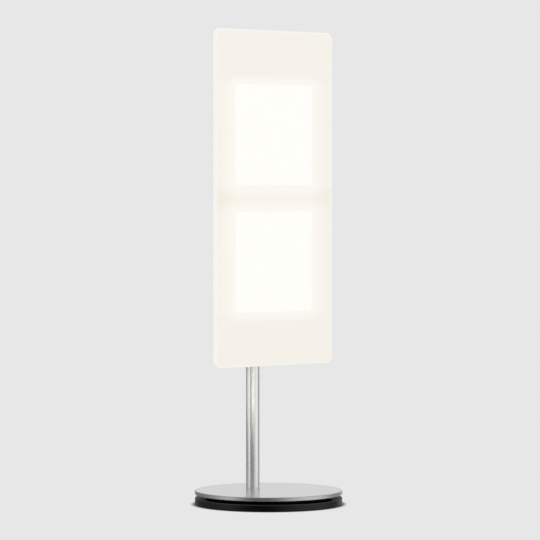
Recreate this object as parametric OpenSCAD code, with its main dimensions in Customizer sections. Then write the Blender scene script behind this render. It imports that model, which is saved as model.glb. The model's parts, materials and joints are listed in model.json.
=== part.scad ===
// Table lamp with two flat OLED light tiles behind a satin plate, on a tube stem and a turning disc base.
// Millimetres, +Z up. The origin lies on the table under the base's axis, and the light faces -Y.

/* [Diffuser plate] */
// Width of the diffuser plate
plate_w = 135; // [124:1:160]
// Height of the diffuser plate
plate_h = 294; // [260:1:340]
// Thickness of the diffuser plate
plate_t = 3; // [2:0.5:5]
// Corner radius of the diffuser plate
plate_corner = 6; // [3:0.5:16]
// Rounding of the diffuser plate's polished edges
plate_edge = 0.6; // [0.2:0.1:0.9]
// Height of the plate's lower edge above the steel disc
plate_lift = 110; // [90:0.5:150]
// Distance from the base's axis forward to the plate's front face
plate_front = 8.4; // [6:0.2:10]

/* [Light tiles] */
// Side of a square light tile
tile_w = 100; // [94:1:104]
// Thickness of a tile's glass, and of the bonding tape beside it
tile_t = 1; // [0.8:0.1:1.6]
// Distance between the centres of the two tiles
tile_pitch = 111; // [108:1:122]
// Width of a tile's dark border round its lit square
lit_border = 6; // [4.5:0.25:10]
// Depth of the lit layer in the back of the glass
lit_t = 0.3; // [0.2:0.1:0.5]
// Thickness of the heat spreader behind a tile
spreader_t = 1; // [0.5:0.1:1.5]
// Margin of the heat spreader inside its tile
spreader_margin = 2; // [1:0.5:5]
// Height of the contact strip along a tile's inner edge
strip_h = 5; // [4:0.5:8]
// Length of the contact strip
strip_w = 70; // [60:1:90]
// Thickness of the contact strip
strip_t = 0.8; // [0.4:0.1:1]

/* [Rear housing] */
// Depth of the rear housing
housing_d = 13; // [12:0.5:15]
// Wall of the rear housing
housing_wall = 2; // [1.5:0.1:2.5]
// Margin of the rear housing round the pair of tiles
housing_margin = 5; // [4:0.5:7]
// Corner radius of the rear housing
housing_corner = 8; // [6:0.5:14]
// Rounding of the rear housing's back edge
housing_edge = 3; // [1:0.5:4]
// Thickness of the ribs inside the rear housing
rib_t = 1.2; // [0.8:0.1:1.6]
// Height of the ribs inside the rear housing
rib_h = 2; // [1:0.5:2.5]
// Thickness of the bosses under the heads of the spacer screws
boss_t = 1.5; // [1:0.5:2]

/* [Driver board] */
// Width of the driver board
board_w = 72; // [70:1:90]
// Height of the driver board
board_h = 44; // [40:1:46]
// Thickness of the driver board
board_t = 1.6; // [1:0.2:2]
// Height of the posts that carry the board
post_h = 4; // [3.6:0.1:4.4]
// Diameter of the posts
post_d = 5.6; // [5:0.2:7]
// Distance from the board's edges to its screws
board_screw_inset = 4; // [3.4:0.2:6]
// Diameter of the board screws
board_screw_d = 2.5; // [2:0.5:3]

/* [Dimmer button] */
// Diameter of the dimmer button
button_d = 9; // [7:0.5:12]
// How far the dimmer button stands out of the housing
button_proud = 1.6; // [1.2:0.1:3]
// Travel of the dimmer button
button_travel = 0.8; // [0.4:0.1:0.8]
// Width of the flange that keeps the button in its hole
button_flange = 1.5; // [1:0.1:3]
// Thickness of that flange
button_flange_t = 1; // [0.8:0.1:1.2]
// Depth of the thumb dish in the button's face
button_dish = 0.4; // [0.1:0.1:0.6]
// Distance of the button below the board's top edge
button_drop = 17; // [14:0.5:22]
// Side of the switch body under the button
switch_w = 6.2; // [5:0.1:8]
// Diameter of the switch plunger
plunger_d = 3.4; // [2:0.1:4]

/* [Stem] */
// Outer diameter of the stem tube
stem_d = 12; // [12:0.5:14]
// Wall of the stem tube
stem_wall = 1; // [0.6:0.1:1.4]
// Distance of the stem behind the base's axis
stem_back = 21.5; // [21:0.5:24]
// Distance between the two spacers that carry the housing
spacer_pitch = 90; // [70:1:105]
// Diameter of the spacers
spacer_d = 14; // [13:0.5:18]
// How far a spacer's saddle reaches round the tube
saddle_depth = 2; // [1:0.5:3]
// Diameter of the spacer screws
spacer_screw_d = 4; // [3:0.5:5]
// Length of the tube above its upper spacer
stem_over = 12; // [10:1:30]
// Height of the stem cap's crown
cap_crown = 1.6; // [1:0.1:4]
// Length of the stem cap's plug in the tube
cap_plug_l = 6; // [4:0.5:10]
// Length of the threaded bush in the tube's foot
foot_bush_l = 18; // [12:1:30]
// Diameter of the hollow screw in the tube's foot
foot_screw_d = 8; // [6:0.5:8]
// Diameter of the hollow screw's flat head
foot_head_d = 14; // [12:0.5:16]
// Thickness of the hollow screw's flat head
foot_head_t = 1.5; // [1:0.1:2]

/* [Base] */
// Diameter of the two base discs
base_d = 130; // [128:1:170]
// Thickness of the steel disc
disc_t = 3.5; // [3:0.5:6]
// Height of the shadow gap between the discs
shadow_gap = 3; // [3:0.5:6]
// Thickness of the black weight disc
weight_t = 5.5; // [5.5:0.5:14]
// Chamfer on the edges of both discs
disc_chamfer = 0.35; // [0.2:0.05:0.6]
// Thickness of the foot pad
pad_t = 1.5; // [1.2:0.1:2]
// How far the foot pad stands out below the weight
pad_proud = 0.5; // [0.3:0.1:0.8]
// Width of the weight's bare rim outside the foot pad
pad_inset = 8.5; // [8.5:0.5:14]
// Diameter of the hole in the middle of the foot pad
pad_hole_d = 30; // [26:1:40]

/* [Swivel] */
// Turn of the lamp to either side of rest, in degrees
swivel_reach = 165; // [90:5:165]
// Diameter of the pivot
pivot_d = 12; // [11:0.5:13]
// Bore of the pivot, which the lead passes through
pivot_bore_d = 5; // [4:0.5:6]
// Diameter of the pivot's flange
pivot_flange_d = 26; // [25:0.5:27]
// Thickness of the pivot's flange
pivot_flange_t = 2.2; // [1.8:0.1:2.6]
// Diameter of the circle of the pivot screws
pivot_screw_circle = 19; // [18.6:0.2:20]
// Diameter of the pivot screws
pivot_screw_d = 3; // [2.5:0.5:3]
// Wall of the pivot bush
bush_wall = 1.5; // [1:0.1:2]
// Width of the bush's thrust flange
bush_flange = 2.5; // [2:0.1:3.5]
// Thickness of the web that holds the bush
bush_web = 2; // [1.8:0.1:2.2]
// Distance from the discs' edge in to the slide ring in the shadow gap
ring_inset = 10; // [9:0.5:15]
// Width of the slide ring
ring_w = 9; // [6:0.5:10]
// Depth of the slide ring's seat in the weight
ring_seat = 0.5; // [0.3:0.1:0.8]
// Diameter of the stop pin
stop_pin_d = 4; // [3:0.5:5]
// Distance of the stop pin from the base's axis
stop_pin_r = 36; // [32:0.5:38]
// Depth of the stop pin's track in the weight
track_depth = 1.6; // [1:0.1:1.8]
// Depth of the stop pin's seat in the steel disc
stop_seat = 1.6; // [1:0.1:2]
// Thickness of the retaining ring
clip_t = 0.8; // [0.6:0.1:1]
// Width of the retaining ring outside the pivot
clip_w = 2.6; // [2:0.1:3]
// Depth of the retaining ring's groove
clip_groove = 0.5; // [0.3:0.1:0.8]
// Thickness of the wave washer's sheet
wave_t = 0.3; // [0.2:0.05:0.4]
// Height over the crests of the wave washer
wave_h = 0.6; // [0.5:0.05:0.8]

/* [Wiring] */
// Diameter of the lead in the base and the stem
lead_d = 1.6; // [1.2:0.1:1.8]
// Diameter of a tile's lead
tile_lead_d = 1.4; // [1:0.1:1.6]
// Bore of the cord gland
gland_bore_d = 3; // [2.4:0.1:3.4]
// Outer diameter of the cord gland
gland_d = 4.2; // [4:0.1:4.4]
// Length of the cord gland
gland_l = 8; // [7:0.5:8]
// Width of the terminal block
terminal_w = 6; // [5:0.5:8]
// Length of the terminal block
terminal_l = 10; // [8:0.5:14]
// Height of the terminal block
terminal_h = 2.2; // [2:0.1:2.4]
// Outer diameter of the sleeve between the tube and the housing
sleeve_d = 8; // [7:0.5:9]

/* [Fits] */
// Clearance of a shaft that turns or slides, all round
running_gap = 0.05; // [0.02:0.01:0.1]
// Clearance round a piece that is seated for good
seat_gap = 0.05; // [0.02:0.01:0.1]
// Clearance between pieces that pass each other
passing_gap = 0.3; // [0.2:0.05:0.4]

/* [Hidden] */
$fn = 64;
// How far a cut runs past the face that it opens
over = 1;

// Heights, from the table up
weight_bottom = pad_proud;
weight_top = weight_bottom + weight_t;
disc_bottom = weight_top + shadow_gap;
disc_top = disc_bottom + disc_t;
plate_bottom = disc_top + plate_lift;
middle = plate_bottom + plate_h / 2;
spacer_upper = middle + spacer_pitch / 2;
spacer_lower = middle - spacer_pitch / 2;
stem_top = spacer_upper + stem_over;

// Depths, from the light's front face back
front_face = -plate_front;
plate_back = front_face + plate_t;
tile_back = plate_back + tile_t;
spreader_back = tile_back + spreader_t;
housing_back = tile_back + housing_d;
housing_inside = housing_back - housing_wall;
stem_front = stem_back - stem_d / 2;

// Lit square of a tile
lit_w = tile_w - 2 * lit_border;

// Rear housing and the space in it
housing_w = tile_w + 2 * housing_margin;
housing_h = tile_pitch + tile_w + 2 * housing_margin;
inside_w = housing_w - 2 * housing_wall;
inside_h = housing_h - 2 * housing_wall;
inside_bottom = middle - inside_h / 2;
boss_front = housing_inside - boss_t;

// Driver board: it hangs below the housing's top wall by its own margin
board_margin = 4.5;
board_top = middle + inside_h / 2 - board_margin;
board_bottom = board_top - board_h;
rib_x = inside_w / 4;
rib_end = board_margin;
board_back = housing_inside - post_h;
board_front = board_back - board_t;
board_screw_x = board_w / 2 - board_screw_inset;
board_screw_heights = [board_bottom + board_screw_inset, board_top - board_screw_inset];
board_head_d = 2 * board_screw_d;
board_head_t = 1.3;

// Connectors on the board's lower edge, one for each lead
connector = [6, 3.2, 5];
connector_step = 8;
connector_from_screw = 10;
first_connector = connector_from_screw - board_screw_x;
second_connector = first_connector + connector_step;
connector_x = [-second_connector, second_connector, first_connector];
connector_mid = board_front - connector[1] / 2;

// Dimmer button and switch, along the button's axis
button_z = board_top - button_drop;
button_hole_r = button_d / 2 + running_gap;
flange_front = housing_inside - button_flange_t;
switch_base_t = 0.7;
switch_clear = 0.2;
plunger_clear = 0.1;
switch_back = flange_front - button_travel - switch_clear;
plunger_well = board_back + switch_base_t;
plunger_front = plunger_well + button_travel + plunger_clear;

// Inside of the stem and the screws that carry the housing
stem_bore_r = stem_d / 2 - stem_wall;
spacer_head_d = 1.75 * spacer_screw_d;
spacer_head_t = 0.6 * spacer_screw_d;
nut_w = 1.75 * spacer_screw_d;
nut_h = 2.25 * spacer_screw_d;
nut_inset = 0.2 * spacer_screw_d;
nut_back = stem_back - nut_inset;
socket_d = 0.7 * spacer_screw_d;
socket_depth = 0.6 * spacer_head_t;

// Sleeve that carries the lead out of the tube
sleeve_wall = 1.4;
sleeve_neck_r = lead_d / 2 + sleeve_wall;
sleeve_lip = 0.5;
sleeve_saddle = 1;

// Pivot: the bush's web sits under the weight's top, the clip and washer hang under the web
web_bottom = weight_top - bush_web;
clip_top = web_bottom - wave_h;
clip_bottom = clip_top - clip_t;
pivot_tail = 0.4;
pivot_bottom = clip_bottom - pivot_tail;
pivot_flange_bottom = disc_bottom - pivot_flange_t;
bush_flange_top = pivot_flange_bottom - 2 * running_gap;
bush_r = pivot_d / 2 + running_gap + bush_wall;
clip_r = pivot_d / 2 + clip_w;
spigot_step = 1;
spigot_r = pivot_d / 2 - spigot_step;
spigot_h = 0.4 * disc_t;
disc_skin = 0.8;
pivot_screw_h = disc_t - disc_skin;
pivot_head_d = 1.8 * pivot_screw_d;
pivot_screw_angles = [-90, 30, 150];

// Stop: the pin stands at the front, and the track leaves a solid web at the rear
track_half_w = stop_pin_d / 2 + passing_gap;
track_floor = weight_top - track_depth;
pin_half_angle = asin((stop_pin_d / 2) / stop_pin_r);
track_reach = swivel_reach + pin_half_angle;

// Cord inlet: gland in the rim, then the terminal block and the lead in a channel under the weight
base_r = base_d / 2;
ring_r = base_r - ring_inset;
pad_r = base_r - pad_inset;
pad_top = pad_t;
gland_z = weight_bottom + weight_t / 2;
gland_outer = base_r - disc_chamfer;
gland_inner = gland_outer - gland_l;
cord_room = 3;
terminal_rear = gland_inner - cord_room;
terminal_front = terminal_rear - terminal_l;
channel_top = pad_top + terminal_h + 2 * seat_gap;
channel_w = terminal_w + 2 * passing_gap;
core_d = 1.2;
clamp_d = 1.6;

// Leads: the base's and the stem's stretches meet on the swivel's axis, inside the pivot
lead_clear = 0.1;
lead_meet = (web_bottom + weight_top) / 2;
channel_lead_z = pad_top + lead_clear + lead_d / 2;
under_lead_z = pivot_bottom - passing_gap - lead_d / 2;
gap_lead_z = disc_bottom - lead_clear - lead_d / 2;
rear_lane = stem_back + passing_gap + lead_d / 2;
lead_bend = 1.6 * lead_d;
lead_slack = 1.2;
lead_exit = pad_hole_d / 2 - lead_d;
lead_dip = 3 * lead_d;
lane_start = disc_top + foot_bush_l + 4 * lead_d;
lane_length = 7.5 * lead_d;
lead_rise = 10 * lead_d;
lead_tail = 16 * lead_d;
foot_lead_bore_r = lead_d / 2 + lead_slack;

base_route = [
    [0, terminal_front, channel_lead_z],
    [0, lead_exit, channel_lead_z],
    [0, lead_exit - lead_dip, under_lead_z],
    [0, 0, under_lead_z],
    [0, 0, lead_meet]
];
stem_route = [
    [0, 0, lead_meet],
    [0, 0, gap_lead_z],
    [0, stem_back, gap_lead_z],
    [0, stem_back, lane_start],
    [0, rear_lane, lane_start + lane_length],
    [0, rear_lane, middle],
    [0, board_back, middle],
    [connector_x[0], board_back, middle + lead_rise],
    [connector_x[0], connector_mid, board_bottom - lead_tail],
    [connector_x[0], connector_mid, board_bottom]
];
strip_edge = 0.5;
tile_lead_start = tile_pitch / 2 - tile_w / 2 + strip_h / 2 + strip_edge;
upper_route = tile_route(connector_x[1], middle + tile_lead_start);
lower_route = tile_route(connector_x[2], middle - tile_lead_start);

function tile_route(x, z) = [
    [x, tile_back + strip_t, z],
    [x, connector_mid, z],
    [x, connector_mid, board_bottom]
];

// Geometry of routes: corners of a route are rounded, then a round tube is swept along it
function unit(v) = v / norm(v);
function bend_point(a, b, c, t) = (1 - t) * (1 - t) * a + 2 * t * (1 - t) * b + t * t * c;
function corner(p, i, r, steps) = [
    for (k = [0 : steps])
        bend_point(p[i] + r * unit(p[i - 1] - p[i]), p[i], p[i] + r * unit(p[i + 1] - p[i]), k / steps)
];
function rounded(p, r, steps = 4) = concat(
    [p[0]],
    [for (i = [1 : len(p) - 2]) each corner(p, i, r, steps)],
    [p[len(p) - 1]]
);
function heading(p, i) =
    i == 0 ? unit(p[1] - p[0])
    : i == len(p) - 1 ? unit(p[i] - p[i - 1])
    : unit(unit(p[i + 1] - p[i]) + unit(p[i] - p[i - 1]));
function sideways(t, n) = unit(n - (n * t) * t);
function side_list(p, i = 0, n = [1, 0.01, 0]) =
    i == len(p) ? []
    : let (s = sideways(heading(p, i), n)) concat([s], side_list(p, i + 1, s));
function arc(cx, cy, r, from, to, steps) = [
    for (k = [0 : steps])
        let (a = from + (to - from) * k / steps) [cx + r * cos(a), cy + r * sin(a)]
];

// A round tube along a route of points
module tube_along(p, d, sides = 8) {
    n = side_list(p);
    ring_points = [
        for (i = [0 : len(p) - 1], k = [0 : sides - 1])
            let (a = 360 * k / sides)
                p[i] + d / 2 * (cos(a) * n[i] + sin(a) * cross(heading(p, i), n[i]))
    ];
    last = (len(p) - 1) * sides;
    walls = [
        for (i = [0 : len(p) - 2], k = [0 : sides - 1])
            let (a = i * sides + k, b = i * sides + (k + 1) % sides)
                each [[a, a + sides, b + sides], [a, b + sides, b]]
    ];
    ends = [
        for (k = [1 : sides - 2])
            each [[0, k, k + 1], [last, last + k + 1, last + k]]
    ];
    polyhedron(ring_points, concat(walls, ends));
}

// A cylinder along Y, at a place in X and Z
module along_y(from, to, r, x = 0, z = 0) {
    translate([x, from, z])
        rotate([-90, 0, 0])
            cylinder(r = r, h = to - from);
}

// A box that is centred in X and Z, from one depth back to another
module block(w, h, from, to, x = 0, z = 0) {
    translate([x - w / 2, from, z - h / 2])
        cube([w, to - from, h]);
}

// An upright slab with round corners, from one depth back to another
module slab(w, h, r, from, to) {
    translate([0, to, middle])
        rotate([90, 0, 0])
            linear_extrude(to - from) {
                square([w - 2 * r, h], center = true);
                square([w, h - 2 * r], center = true);
                for (x = [-1, 1], z = [-1, 1])
                    translate([x * (w / 2 - r), z * (h / 2 - r)])
                        circle(r);
            }
}

// An upright slab whose front and back edges are rounded as well
module soft_slab(w, h, r, from, to, front_edge, back_edge, facets) {
    t = to - from;
    profile = concat(
        [[0, 0]],
        arc(r - back_edge, back_edge, back_edge, -90, 0, 4),
        arc(r - front_edge, t - front_edge, front_edge, 0, 90, 4),
        [[0, t]]
    );
    translate([0, to, middle])
        rotate([90, 0, 0])
            hull()
                for (x = [-1, 1], z = [-1, 1])
                    translate([x * (w / 2 - r), z * (h / 2 - r), 0])
                        rotate_extrude($fn = facets)
                            polygon(profile);
}

// A flat disc with chamfered edges
module chamfered_disc(r, t, chamfer) {
    rotate_extrude($fn = 128)
        polygon([
            [0, 0], [r - chamfer, 0], [r, chamfer],
            [r, t - chamfer], [r - chamfer, t], [0, t]
        ]);
}

// A ring round Z
module ring(outer, inner, h) {
    difference() {
        cylinder(r = outer, h = h);
        translate([0, 0, -over])
            cylinder(r = inner, h = h + 2 * over);
    }
}

// A countersunk screw that points up, with its head's flat at the origin
module countersunk(d, head_d, l) {
    cylinder(d1 = head_d, d2 = d, h = (head_d - d) / 2);
    cylinder(d = d, h = l);
}

// BASE, which stands still

module foot_pad() {
    color([0.10, 0.10, 0.10])
        ring(pad_r, pad_hole_d / 2, pad_t);
}

module base_weight() {
    color([0.07, 0.07, 0.07])
        difference() {
            translate([0, 0, weight_bottom])
                chamfered_disc(base_r, weight_t, disc_chamfer);
            // seat of the foot pad
            cylinder(r = pad_r + seat_gap, h = pad_top);
            // bore of the bush, and the well for the clip and the washer under it
            cylinder(r = bush_r + seat_gap, h = weight_top + over);
            cylinder(r = clip_r + passing_gap, h = web_bottom);
            // seat of the slide ring
            translate([0, 0, weight_top - ring_seat])
                ring(ring_r + seat_gap, ring_r - ring_w - seat_gap, ring_seat + over);
            // track of the stop pin, open all round but for a web at the rear
            translate([0, 0, track_floor])
                rotate_extrude(angle = 2 * track_reach, start = -90 - track_reach, $fn = 128)
                    translate([stop_pin_r - track_half_w, 0])
                        square([2 * track_half_w, track_depth + over]);
            // channel for the terminal block and the lead, open below
            translate([-channel_w / 2, 0, 0])
                cube([channel_w, gland_inner, channel_top]);
            // bore of the gland through the rim
            along_y(gland_inner - over, base_r + over, gland_d / 2 + seat_gap, z = gland_z);
        }
}

module cord_gland() {
    color([0.13, 0.13, 0.13])
        difference() {
            along_y(gland_inner, gland_outer, gland_d / 2, z = gland_z);
            along_y(gland_inner - over, base_r, gland_bore_d / 2, z = gland_z);
        }
}

module terminal_block() {
    poles = [-1, 1] * terminal_w / 4;
    color([0.85, 0.85, 0.80])
        translate([0, terminal_front, pad_top + seat_gap])
            difference() {
                translate([-terminal_w / 2, 0, 0])
                    cube([terminal_w, terminal_l, terminal_h]);
                for (x = poles) {
                    // entry for a core of the cord
                    translate([x, terminal_l / 2, terminal_h / 2])
                        rotate([-90, 0, 0])
                            cylinder(d = core_d, h = terminal_l);
                    // well of a clamping screw
                    translate([x, terminal_l - 2 * clamp_d, terminal_h / 2])
                        cylinder(d = clamp_d, h = terminal_h);
                }
            }
}

module base_lead() {
    color([0.20, 0.20, 0.20])
        tube_along(rounded(base_route, lead_bend), lead_d);
}

module pivot_bush() {
    color([0.92, 0.91, 0.86])
        difference() {
            union() {
                translate([0, 0, web_bottom])
                    cylinder(r = bush_r, h = bush_web + seat_gap);
                translate([0, 0, weight_top])
                    cylinder(r = bush_r + bush_flange, h = bush_flange_top - weight_top);
            }
            translate([0, 0, web_bottom - over])
                cylinder(r = pivot_d / 2 + running_gap, h = shadow_gap + bush_web + over);
        }
}

module slide_ring() {
    color([0.05, 0.05, 0.05])
        translate([0, 0, weight_top - ring_seat])
            ring(ring_r, ring_r - ring_w, ring_seat + shadow_gap - running_gap);
}

// TURNING PART: disc, stem and head

module steel_disc() {
    color([0.80, 0.80, 0.80])
        difference() {
            translate([0, 0, disc_bottom])
                chamfered_disc(base_r, disc_t, disc_chamfer);
            // blind seats under the disc, for the pivot's spigot, its screws and the stop pin
            translate([0, 0, disc_bottom - over])
                cylinder(r = spigot_r + seat_gap, h = spigot_h + seat_gap + over);
            for (a = pivot_screw_angles)
                rotate(a)
                    translate([pivot_screw_circle / 2, 0, disc_bottom - over])
                        cylinder(d = pivot_screw_d + 2 * seat_gap, h = pivot_screw_h + seat_gap + over);
            translate([0, -stop_pin_r, disc_bottom - over])
                cylinder(d = stop_pin_d + 2 * seat_gap, h = stop_seat + seat_gap + over);
            // hole and counterbore of the hollow foot screw
            translate([0, stem_back, disc_bottom - over])
                cylinder(d = foot_screw_d + 2 * seat_gap, h = disc_t + 2 * over);
            translate([0, stem_back, disc_bottom - over])
                cylinder(d = foot_head_d + 2 * seat_gap, h = foot_head_t + over);
        }
}

module pivot() {
    color([0.62, 0.62, 0.63])
        difference() {
            union() {
                translate([0, 0, pivot_bottom])
                    cylinder(d = pivot_d, h = pivot_flange_bottom - pivot_bottom);
                translate([0, 0, pivot_flange_bottom])
                    cylinder(d = pivot_flange_d, h = pivot_flange_t);
                translate([0, 0, disc_bottom])
                    cylinder(r = spigot_r, h = spigot_h);
            }
            // groove of the retaining ring
            translate([0, 0, clip_bottom - seat_gap])
                ring(pivot_d, pivot_d / 2 - clip_groove, clip_t + 2 * seat_gap);
            // bore for the lead, and its slot through the flange towards the stem
            translate([0, 0, pivot_bottom - over])
                cylinder(d = pivot_bore_d, h = disc_bottom - pivot_bottom + over);
            translate([-lead_d / 2 - passing_gap, 0, pivot_flange_bottom])
                cube([lead_d + 2 * passing_gap, pivot_flange_d, pivot_flange_t]);
            // countersunk holes of the pivot screws
            for (a = pivot_screw_angles)
                rotate(a)
                    translate([pivot_screw_circle / 2, 0, pivot_flange_bottom])
                        countersunk(pivot_screw_d + 2 * seat_gap, pivot_head_d + 2 * seat_gap, disc_t);
        }
}

module pivot_screws() {
    color([0.70, 0.70, 0.71])
        for (a = pivot_screw_angles)
            rotate(a)
                translate([pivot_screw_circle / 2, 0, pivot_flange_bottom])
                    countersunk(pivot_screw_d, pivot_head_d, pivot_flange_t + pivot_screw_h);
}

module retaining_ring() {
    mouth = pivot_d / 3;
    color([0.45, 0.45, 0.46])
        translate([0, 0, clip_bottom])
            difference() {
                ring(clip_r, pivot_d / 2 - clip_groove + seat_gap, clip_t);
                translate([0, -mouth / 2, -over])
                    cube([clip_r + over, mouth, clip_t + 2 * over]);
            }
}

// The washer's sheet rises and falls three times round its ring
module wave_washer() {
    stations = 36;
    lobes = 3;
    swing = (wave_h - wave_t) / 2 - running_gap;
    low = clip_top + wave_h / 2;
    inner = pivot_d / 2 + running_gap;
    outer = clip_r - passing_gap;
    sheet = [
        for (i = [0 : stations - 1])
            let (a = 360 * i / stations, z = low + swing * cos(lobes * a))
                each [
                    [inner * cos(a), inner * sin(a), z - wave_t / 2],
                    [outer * cos(a), outer * sin(a), z - wave_t / 2],
                    [outer * cos(a), outer * sin(a), z + wave_t / 2],
                    [inner * cos(a), inner * sin(a), z + wave_t / 2]
                ]
    ];
    faces = [
        for (i = [0 : stations - 1], k = [0 : 3])
            let (j = (i + 1) % stations, m = (k + 1) % 4)
                each [[4 * i + k, 4 * i + m, 4 * j + m], [4 * i + k, 4 * j + m, 4 * j + k]]
    ];
    color([0.55, 0.55, 0.56])
        polyhedron(sheet, faces);
}

module stop_pin() {
    color([0.60, 0.60, 0.61])
        translate([0, -stop_pin_r, track_floor + passing_gap])
            cylinder(d = stop_pin_d, h = disc_bottom + stop_seat - track_floor - passing_gap);
}

module stem_tube() {
    color([0.80, 0.80, 0.80])
        difference() {
            translate([0, stem_back, disc_top])
                cylinder(d = stem_d, h = stem_top - disc_top);
            translate([0, stem_back, disc_top - over])
                cylinder(r = stem_bore_r, h = stem_top - disc_top + 2 * over);
            // holes in the front wall for the spacer screws and the lead
            for (z = [spacer_lower, spacer_upper])
                along_y(stem_front - over, stem_back, spacer_screw_d / 2 + 2 * seat_gap, z = z);
            along_y(stem_front - over, stem_back, sleeve_neck_r + seat_gap, z = middle);
        }
}

module foot_bush() {
    color([0.78, 0.66, 0.38])
        translate([0, stem_back, disc_top])
            ring(stem_bore_r - seat_gap, foot_screw_d / 2 + seat_gap, foot_bush_l);
}

// Hollow screw: the lead passes up its bore, and two face holes take a pin spanner
module foot_screw() {
    spanner_r = (foot_head_d + foot_screw_d) / 4;
    spanner_d = 1.6;
    thread_short = 1;
    color([0.70, 0.70, 0.71])
        translate([0, stem_back, disc_bottom])
            difference() {
                union() {
                    cylinder(d = foot_head_d, h = foot_head_t);
                    cylinder(d = foot_screw_d, h = disc_t + foot_bush_l - thread_short);
                }
                translate([0, 0, -over])
                    cylinder(r = foot_lead_bore_r, h = disc_t + foot_bush_l + 2 * over);
                for (x = [-spanner_r, spanner_r])
                    translate([x, 0, -over])
                        cylinder(d = spanner_d, h = foot_head_t / 2 + over);
            }
}

module stem_cap() {
    rim = 0.5;
    color([0.80, 0.80, 0.80])
        translate([0, stem_back, stem_top])
            rotate_extrude()
                polygon(concat(
                    [[0, -cap_plug_l], [stem_bore_r - seat_gap, -cap_plug_l], [stem_bore_r - seat_gap, 0]],
                    [[stem_d / 2, 0]],
                    arc(stem_d / 2 - cap_crown + rim, rim, cap_crown - rim, 0, 90, 6),
                    [[0, cap_crown]]
                ));
}

module stem_lead() {
    color([0.20, 0.20, 0.20])
        tube_along(rounded(stem_route, lead_bend), lead_d);
}

// A spacer fills the room between the housing's back and the tube, with a saddle for the tube
module stem_spacer(z) {
    color([0.80, 0.80, 0.80])
        difference() {
            along_y(housing_back, stem_front + saddle_depth, spacer_d / 2, z = z);
            translate([0, stem_back, z - spacer_d])
                cylinder(r = stem_d / 2 + seat_gap, h = 2 * spacer_d);
            along_y(housing_back - over, stem_back, spacer_screw_d / 2 + 2 * seat_gap, z = z);
        }
}

module stem_spacer_upper() { stem_spacer(spacer_upper); }

module stem_spacer_lower() { stem_spacer(spacer_lower); }

module spacer_screws() {
    color([0.70, 0.70, 0.71])
        for (z = [spacer_lower, spacer_upper])
            difference() {
                union() {
                    along_y(boss_front - spacer_head_t, boss_front, spacer_head_d / 2, z = z);
                    along_y(boss_front - socket_depth / 2, nut_back - seat_gap, spacer_screw_d / 2, z = z);
                }
                // hexagon socket
                translate([0, boss_front - spacer_head_t - over, z])
                    rotate([-90, 0, 0])
                        cylinder(d = socket_d, h = socket_depth + over, $fn = 6);
            }
}

// Nut blocks inside the tube, rounded to lie against its wall
module spacer_nuts() {
    color([0.78, 0.66, 0.38])
        for (z = [spacer_lower, spacer_upper])
            difference() {
                intersection() {
                    translate([0, stem_back, z - nut_h / 2])
                        cylinder(r = stem_bore_r - seat_gap, h = nut_h);
                    block(nut_w, nut_h, stem_front, nut_back, z = z);
                }
                along_y(stem_front, stem_back, spacer_screw_d / 2 + seat_gap, z = z);
            }
}

// Soft sleeve that carries the lead from the tube's wall into the housing
module wire_sleeve() {
    color([0.10, 0.10, 0.10])
        difference() {
            union() {
                difference() {
                    along_y(housing_back, stem_front + sleeve_saddle, sleeve_d / 2, z = middle);
                    translate([0, stem_back, middle - sleeve_d])
                        cylinder(r = stem_d / 2 + seat_gap, h = 2 * sleeve_d);
                }
                along_y(housing_inside - sleeve_lip, stem_front + stem_wall + sleeve_lip,
                    sleeve_neck_r, z = middle);
            }
            along_y(housing_inside - over, stem_back, lead_d / 2 + lead_clear, z = middle);
        }
}

// Moulded tray: rounded back, thin walls, ribs, bosses, board posts, and holes for the button, screws and lead
module rear_housing() {
    rim_edge = 0.3;
    root = housing_inside + housing_wall / 2;
    rib_low = inside_bottom - housing_wall / 2;
    rib_high = board_bottom - rib_end;
    color([0.93, 0.92, 0.90])
        difference() {
            union() {
                difference() {
                    soft_slab(housing_w, housing_h, housing_corner, tile_back, housing_back,
                        rim_edge, housing_edge, 32);
                    slab(inside_w, inside_h, housing_corner - housing_wall,
                        tile_back - over, housing_inside);
                }
                for (x = [-board_screw_x, board_screw_x], z = board_screw_heights)
                    along_y(board_back, root, post_d / 2, x, z);
                for (z = [spacer_lower, spacer_upper])
                    along_y(boss_front, root, spacer_d / 2, z = z);
                for (x = [-rib_x, rib_x])
                    block(rib_t, rib_high - rib_low, housing_inside - rib_h, root,
                        x, (rib_low + rib_high) / 2);
            }
            for (x = [-board_screw_x, board_screw_x], z = board_screw_heights)
                along_y(board_back - over, housing_inside, board_screw_d / 2 + seat_gap, x, z);
            for (z = [spacer_lower, spacer_upper])
                along_y(boss_front - over, housing_back + over, spacer_screw_d / 2 + 2 * seat_gap, z = z);
            along_y(housing_inside - over, housing_back + over, sleeve_neck_r + seat_gap, z = middle);
            along_y(housing_inside - over, housing_back + over, button_hole_r, z = button_z);
        }
}

// Frame of foam tape that bonds the housing's rim to the plate, round the tiles
module bond_tape() {
    edge = 0.4;
    color([0.90, 0.90, 0.88])
        difference() {
            slab(housing_w - 2 * edge, housing_h - 2 * edge, housing_corner - edge, plate_back, tile_back);
            block(tile_w + 2 * passing_gap, tile_pitch + tile_w + 2 * passing_gap,
                plate_back - over, tile_back + over, z = middle);
        }
}

module diffuser_plate() {
    color([0.97, 0.95, 0.92])
        soft_slab(plate_w, plate_h, plate_corner, front_face, plate_back, plate_edge, plate_edge, 48);
}

// Light tiles: glass, lit layer, heat spreader and contact strip. side is 1 above and -1 below

module tile_glass(side) {
    z = middle + side * tile_pitch / 2;
    color([0.85, 0.88, 0.88])
        difference() {
            block(tile_w, tile_w, plate_back, tile_back, z = z);
            block(lit_w, lit_w, tile_back - lit_t, tile_back + over, z = z);
        }
}

module tile_glass_upper() { tile_glass(1); }

module tile_glass_lower() { tile_glass(-1); }

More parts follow.
